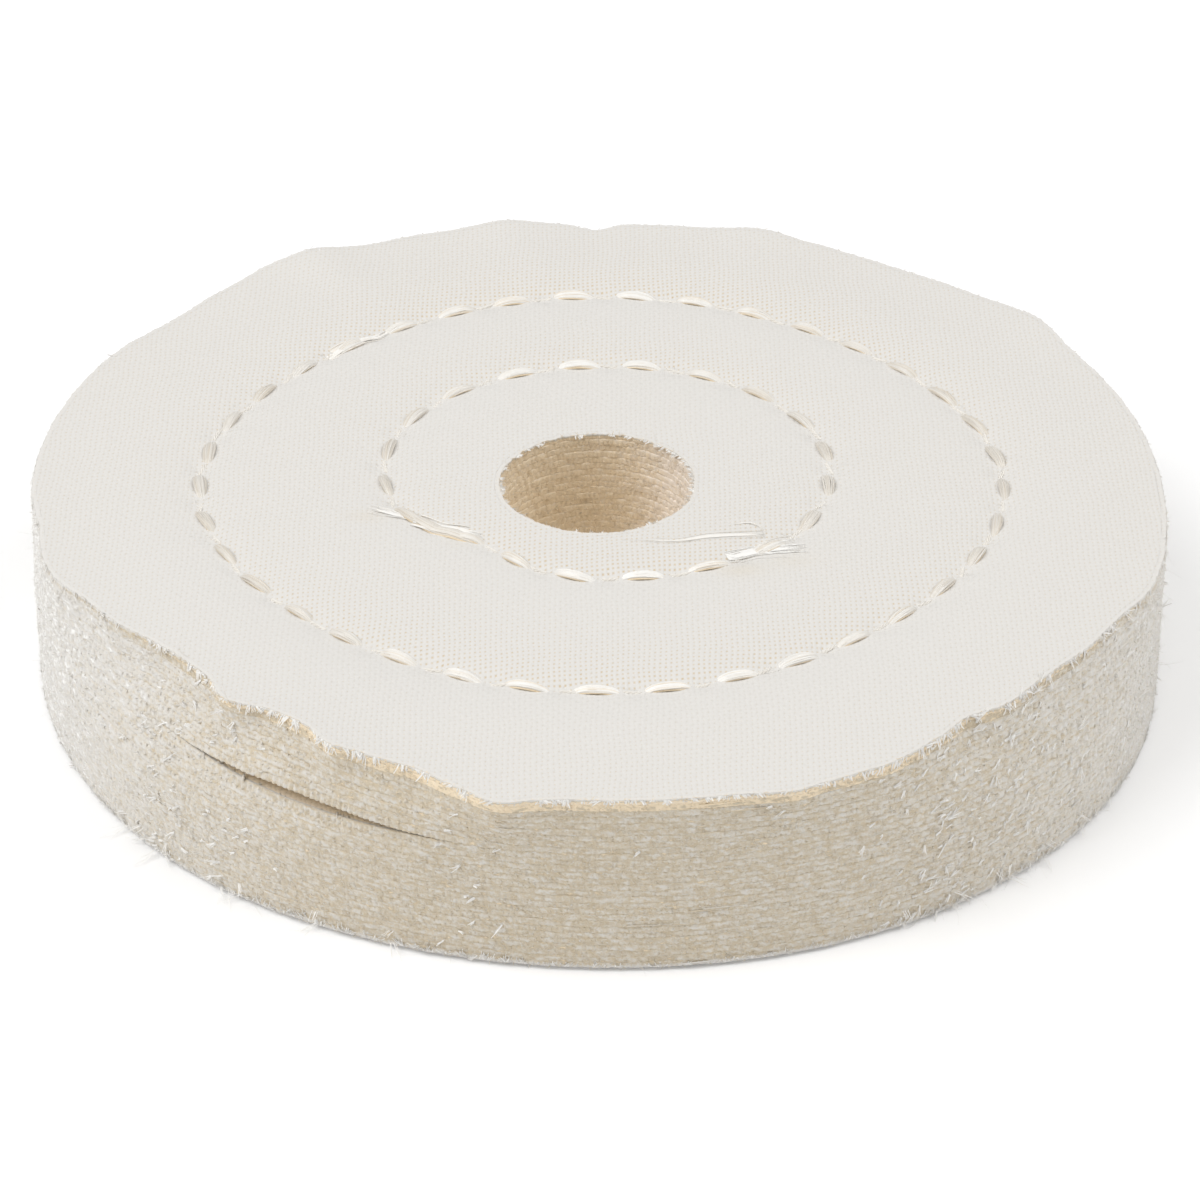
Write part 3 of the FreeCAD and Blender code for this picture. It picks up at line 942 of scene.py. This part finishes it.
def add_stitch(soup, rng, name, first, last, side, half_width, lean, dive=0.5):
    """One stitch: a flat bundle of filaments over a core, which dives into the cloth at both ends."""
    rings = 13
    steps = np.linspace(0, 1, rings)
    inset = 0.10
    angle = first + (inset + (1 - 2 * inset) * steps) * (last - first)
    x, y = ring_point(name, angle, lean * (2 * steps - 1))
    across = outwards(angle)
    arch = np.sin(math.pi * steps) ** 0.55
    lift = surface_height(x, y, side) + side * (0.17 * arch - dive * (1 - arch))
    middle = np.stack([x, y, lift], -1)
    swell = 0.28 + 0.72 * np.sin(math.pi * steps**rng.uniform(0.8, 1.2)) ** 0.75
    turn = math.pi * (np.arange(STRANDS) + 0.5) / STRANDS * 1.2 - 0.1 * math.pi
    spread = rng.uniform(0.70, 1.05, STRANDS)
    phase = turn[:, None] + rng.normal(0.35, 0.2) * (steps - 0.5)
    turns = steps * rng.uniform(0.6, 1.4, (STRANDS, 1))
    sway = 0.05 * np.sin(TAU * turns + rng.uniform(0, TAU, (STRANDS, 1)))
    out = (spread[:, None] * np.cos(phase) + sway) * half_width * swell
    over = (spread[:, None] * np.sin(phase) + sway) * STITCH_HALF_HEIGHT * swell
    path = middle + out[..., None] * across + over[..., None] * np.array([0, 0, side])
    thick = rng.uniform(0.045, 0.075, (STRANDS, 1)) * (0.65 + 0.35 * swell)
    # Painted shade: strands low on the sides of the stitch are tinted ochre.
    low = np.clip(0.55 - np.sin(phase), 0, 1) * 0.5
    streak = np.where(rng.random((STRANDS, 1)) < 0.22, 0.4, rng.uniform(-0.05, 0.15, (STRANDS, 1)))
    # Painted shade: the stitches at the left and right of a ring, which run front to back, are given the
    # darker colour.
    side_shade = 0.75 * abs(math.cos(first)) ** 1.5 * rng.uniform(0.6, 1.1, (STRANDS, 1)) + 0 * phase
    soup.add_tubes(path, thick, 5, tone=streak + low, fuzz=side_shade)
    # The core lies a little towards the front, where its ochre shows past the filaments as painted shade
    # along the front edge of the stitch.
    core = middle[None] - np.array([0, 0.13, 0.04 * side])
    soup.add_tubes(core, 0.92 * half_width * swell[None], 10, tone=0.9, flatten=0.22)


def add_knot(soup, rng, name, angle, side, length):
    """The little twisted loop of the other thread that shows at a needle hole, with its loose fibres."""
    rings, plies = 9, 3
    steps = np.linspace(-0.5, 0.5, rings)
    radius = RINGS[name][2]
    at = angle + steps * length / radius
    x, y = ring_point(name, at, rng.normal(0, 0.08) + rng.normal(0, 0.3) * steps)
    arch = 1 - (2 * steps) ** 2
    height = surface_height(x, y, side) + side * (0.07 * arch - 0.02)
    across = outwards(at)
    turn = circle_steps(plies)[:, None] + steps * TAU * 1.2 + rng.uniform(0, TAU)
    path = np.stack([x, y, height], -1) + 0.055 * (
        1.5 * np.cos(turn)[..., None] * across + np.sin(turn)[..., None] * UP
    )
    soup.add_tubes(path, 0.06, 6, tone=0.05, fuzz=0.35)


def add_wisps(soup, rng, name, angle, side, count, reach):
    """Fine broken filaments round a needle hole."""
    x, y = ring_point(name, angle + rng.normal(0, 0.012, count), rng.normal(0, 0.2, count))
    start = np.stack([x, y, surface_height(x, y, side)], -1)
    heading = rng.normal(0, 1, (count, 3)) * np.array([1, 1, 0.1]) + np.array([0, 0, 0.15 * side])
    length = reach * rng.uniform(0.4, 1.2, count)
    thick = rng.uniform(0.010, 0.018, count)
    add_fibres(soup, rng, start, heading, length, thick, 6, 0.8, 0.0, fuzz=0.2)


def smooth_path(points, count):
    """A smooth line of count points through a few given ones, (x, y, lift), on the top face."""
    points = np.asarray(points, float)
    ends = 2 * points[:1] - points[1:2], 2 * points[-1:] - points[-2:-1]
    known = np.concatenate([ends[0], points, ends[1]])
    place = np.linspace(0, len(points) - 1 - 1e-9, count)
    index = place.astype(int)
    t = (place - index)[:, None]
    before, start, end, after = (known[index + k] for k in range(4))
    path = 0.5 * (
        2 * start + (end - before) * t + (2 * before - 5 * start + 4 * end - after) * t**2
        + (3 * start - before - 3 * end + after) * t**3
    )
    path[:, 2] += surface_height(path[:, 0], path[:, 1], 1)
    return path


def add_bundle(soup, rng, points, strands, start_width, end_width, thick, tone=0.05):
    """A loose bundle of filaments along a few points on the top face, which may fan out to its end."""
    rings = 6 * len(points)
    path = smooth_path(points, rings)
    along = unit(np.gradient(path, axis=0))
    side = unit(np.cross(along, UP))
    steps = np.linspace(0, 1, rings)
    width = start_width + (end_width - start_width) * steps**1.3
    place = rng.normal(0, 0.48, (strands, 1))
    height = rng.uniform(0, 0.25, (strands, 1))
    turns = steps * rng.uniform(0.3, 1.2, (strands, 1))
    sway = 0.18 * np.sin(TAU * turns + rng.uniform(0, TAU, (strands, 1)))
    out = (place + sway * (0.3 + 0.7 * steps)) * width
    lines = path + out[..., None] * side + (height * 0.22 * width)[..., None] * UP
    stop = rng.uniform(0.75, 1.0, (strands, 1, 1))
    share = stop[..., 0] * np.linspace(0, 1, rings) * (rings - 1)
    index = np.minimum(share.astype(int), rings - 2)
    t = (share - index)[..., None]
    row = np.arange(strands)[:, None]
    lines = lines[row, index] * (1 - t) + lines[row, index + 1] * t
    floor = surface_height(lines[..., 0], lines[..., 1], 1) + 0.02
    lines[..., 2] = np.maximum(lines[..., 2], floor)
    taper = rng.uniform(0.7, 1.3, (strands, 1)) * thick * np.linspace(1, 0.5, rings)
    tones = tone + rng.uniform(-0.1, 0.15, (strands, 1))
    soup.add_tubes(lines, taper, 4, tone=tones + 0 * taper)
    # The filaments that lie close together make one soft body, which thins out at the far end.
    body = 0.6 * width * np.clip(3 * steps, 0.05, 1) ** 0.7 * np.clip(1.5 - 1.7 * steps, 0.02, 1)
    soup.add_tubes(path[None] + 0.02 * UP, body[None], 10, tone=tone, flatten=0.16)


def hole_angles(name):
    """The needle holes' angles about a ring's centre, where quilting() is deepest."""
    return HOLE_STARTS[name] + circle_steps(STITCH_COUNTS[name])


# The inner ring was sewn past its start, and has a second, longer run of thread between these holes.
OVERLAP = (11, 13)
# The outer ring has one stitch half as long again as the rest: where it lies, in degrees, and how high.
LONG_STITCH = (138.3, 0.0), (131.5, 0.2), (124.8, 0.0)


def make_stitches(name, side, material):
    """All the stitches of one ring on one face."""
    rng = np.random.default_rng(7 + 20 * (side > 0) + 10 * (name == "outer"))
    soup = Soup()
    holes = hole_angles(name)
    step = TAU / len(holes)
    for angle in holes:
        width = STITCH_HALF_WIDTH * rng.uniform(0.85, 1.15) * (1 - 0.22 * math.cos(angle) ** 2)
        lean = -0.22 * math.cos(2 * angle) + rng.normal(0, 0.08)
        add_stitch(soup, rng, name, angle + rng.normal(0, 0.04) * step, angle + step, side, width, lean)
        add_wisps(soup, rng, name, angle, side, 3, 0.8)
    if side > 0:
        add_loose_threads(soup, rng, name, holes)
    word = "top" if side > 0 else "underside"
    return soup.build(f"{name}_stitches_{word}", material)


# Loose runs of thread on the top face. Each row holds its points, as x, y and lift, then its number of
# filaments, its width at the start and at the end, how thick the filaments are, and their tone.
OUTER_LOOSE = (
    (((-18.6, 18.7, 0.02), (-17.4, 19.9, 0.06), (-15.9, 20.4, 0.02)), 14, 0.4, 0.4, 0.05, 0.2),
)
INNER_LOOSE = (
    (((-12.4, -4.3, 0.08), (-13.6, -3.9, 0.10), (-15.2, -3.2, 0.04)), 16, 0.25, 0.8, 0.026, 0.05),
    (((-11.9, -4.6, 0.12), (-9.8, -5.7, 0.16), (-7.4, -6.5, 0.03)), 18, 0.6, 0.4, 0.055, 0.05),
    # The tail: a brush of filaments, a long strand curving back past the bore, and a stray loop.
    (((8.4, -9.2, 0.02), (10.6, -8.5, 0.08), (13.7, -8.3, 0.02)), 26, 0.5, 1.0, 0.038, -0.1),
    (((9.8, -8.7, 0.02), (11.4, -7.5, 0.06), (13.2, -6.7, 0.02)), 12, 0.3, 0.6, 0.026, 0.0),
    (((10.9, -6.5, 0.0), (7.4, -6.9, 0.0), (5.0, -7.5, 0.0), (1.6, -7.4, 0.0)), 14, 0.5, 0.3, 0.010, 0.1),
    (((9.0, -5.4, 0.0), (10.1, -5.3, 0.04), (11.2, -6.3, 0.01)), 2, 0.1, 0.1, 0.02, 0.1),
)
LOOSE_THREADS = {"outer": OUTER_LOOSE, "inner": INNER_LOOSE}


def add_loose_threads(soup, rng, name, holes):
    """The places on the top face where a ring's thread was started, finished or pulled out of line."""
    if name == "outer":
        long_stitch = [(*ring_point(name, math.radians(at)), lift) for at, lift in LONG_STITCH]
        add_bundle(soup, rng, long_stitch, 18, 0.40, 0.40, 0.055)
    else:
        first, last = (holes[number] for number in OVERLAP)
        add_stitch(soup, rng, name, first, last, 1, 0.50, 0.2, dive=0.2)
    for row in LOOSE_THREADS[name]:
        add_bundle(soup, rng, *row)


def make_knots(name, material):
    """The other thread of a ring: twisted loops that show at the needle holes, on top and underneath."""
    rng = np.random.default_rng(50 + (name == "outer"))
    soup = Soup()
    for angle in hole_angles(name):
        for side in (1, -1):
            add_knot(soup, rng, name, angle + rng.normal(0, 0.01), side, rng.uniform(1.0, 1.5))
            add_wisps(soup, rng, name, angle, side, 12, 0.35)
    return soup.build(f"{name}_knots", material)


# ---------------- stage


FLOOR_WIDTH = 6
WORLD_STRENGTH = 0.33
# Each light's place and width in metres, and its power in watts.
LIGHTS = {
    "key": ((-0.60, -0.13, 0.73), 0.9, 5.9),
    "fill": ((0.64, 0.0, 0.70), 0.9, 3.9),
    "top": ((0.0, -0.24, 0.92), 0.6, 0.9),
}


def make_floor():
    bpy.ops.mesh.primitive_plane_add(size=FLOOR_WIDTH, location=(0, 0, FLOOR_LEVEL * MM))
    floor = bpy.context.object
    floor.name = "floor"
    floor.data.materials.append(floor_material())


def make_light(name, place, size, power):
    data = bpy.data.lights.new(name, "AREA")
    data.shape = "DISK"
    data.size, data.energy = size, power
    light = bpy.data.objects.new(name, data)
    light.location = place
    light.rotation_euler = (-light.location).to_track_quat("-Z", "Y").to_euler()
    bpy.context.scene.collection.objects.link(light)


def make_world(strength):
    world = bpy.data.worlds.new("studio")
    world.use_nodes = True
    background = world.node_tree.nodes["Background"]
    background.inputs["Color"].default_value = (1, 1, 1, 1)
    background.inputs["Strength"].default_value = strength
    bpy.context.scene.world = world


CAMERA_RISE = math.radians(30.3)
CAMERA_DISTANCE = 302.0
CAMERA_TILT = math.radians(1.46)
CAMERA_TURN = math.radians(0.04)
CAMERA_LENS = 136.1


def make_camera():
    data = bpy.data.cameras.new("camera")
    data.lens = CAMERA_LENS
    data.sensor_width = 36
    data.clip_start = 0.01
    camera = bpy.data.objects.new("camera", data)
    back, up = CAMERA_DISTANCE * math.cos(CAMERA_RISE), CAMERA_DISTANCE * math.sin(CAMERA_RISE)
    camera.location = (0, -back * MM, (up + HALF_HEIGHT) * MM)
    camera.rotation_euler = (math.pi / 2 - CAMERA_RISE - CAMERA_TILT, 0, -CAMERA_TURN)
    bpy.context.scene.collection.objects.link(camera)
    bpy.context.scene.camera = camera


def make_stage():
    bpy.context.scene.view_settings.view_transform = "Standard"
    make_camera()
    make_floor()
    make_world(WORLD_STRENGTH)
    for name, (place, width, power) in LIGHTS.items():
        make_light(name, place, width, power)


# ---------------- the whole wheel


def add_piece(piece, slot, *nodes):
    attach(piece, "root")
    if nodes:
        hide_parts(*nodes)


def main():
    make_stage()
    cotton = cotton_material()
    silk = thread_material("silky_thread", 0.28, 0.8)
    twine = thread_material("cotton_twine", 0.85, 0.2)
    for number, node in enumerate(PLY_NODES, 1):
        ply = make_ply(number, cotton)
        add_piece(ply, "cloth", node)
    for name in STITCH_COUNTS:
        add_piece(make_stitches(name, 1, silk), "thread", f"{name}_needle_thread")
        add_piece(make_stitches(name, -1, twine), "thread", f"{name}_bobbin_thread")
        add_piece(make_knots(name, twine), "thread")


main()
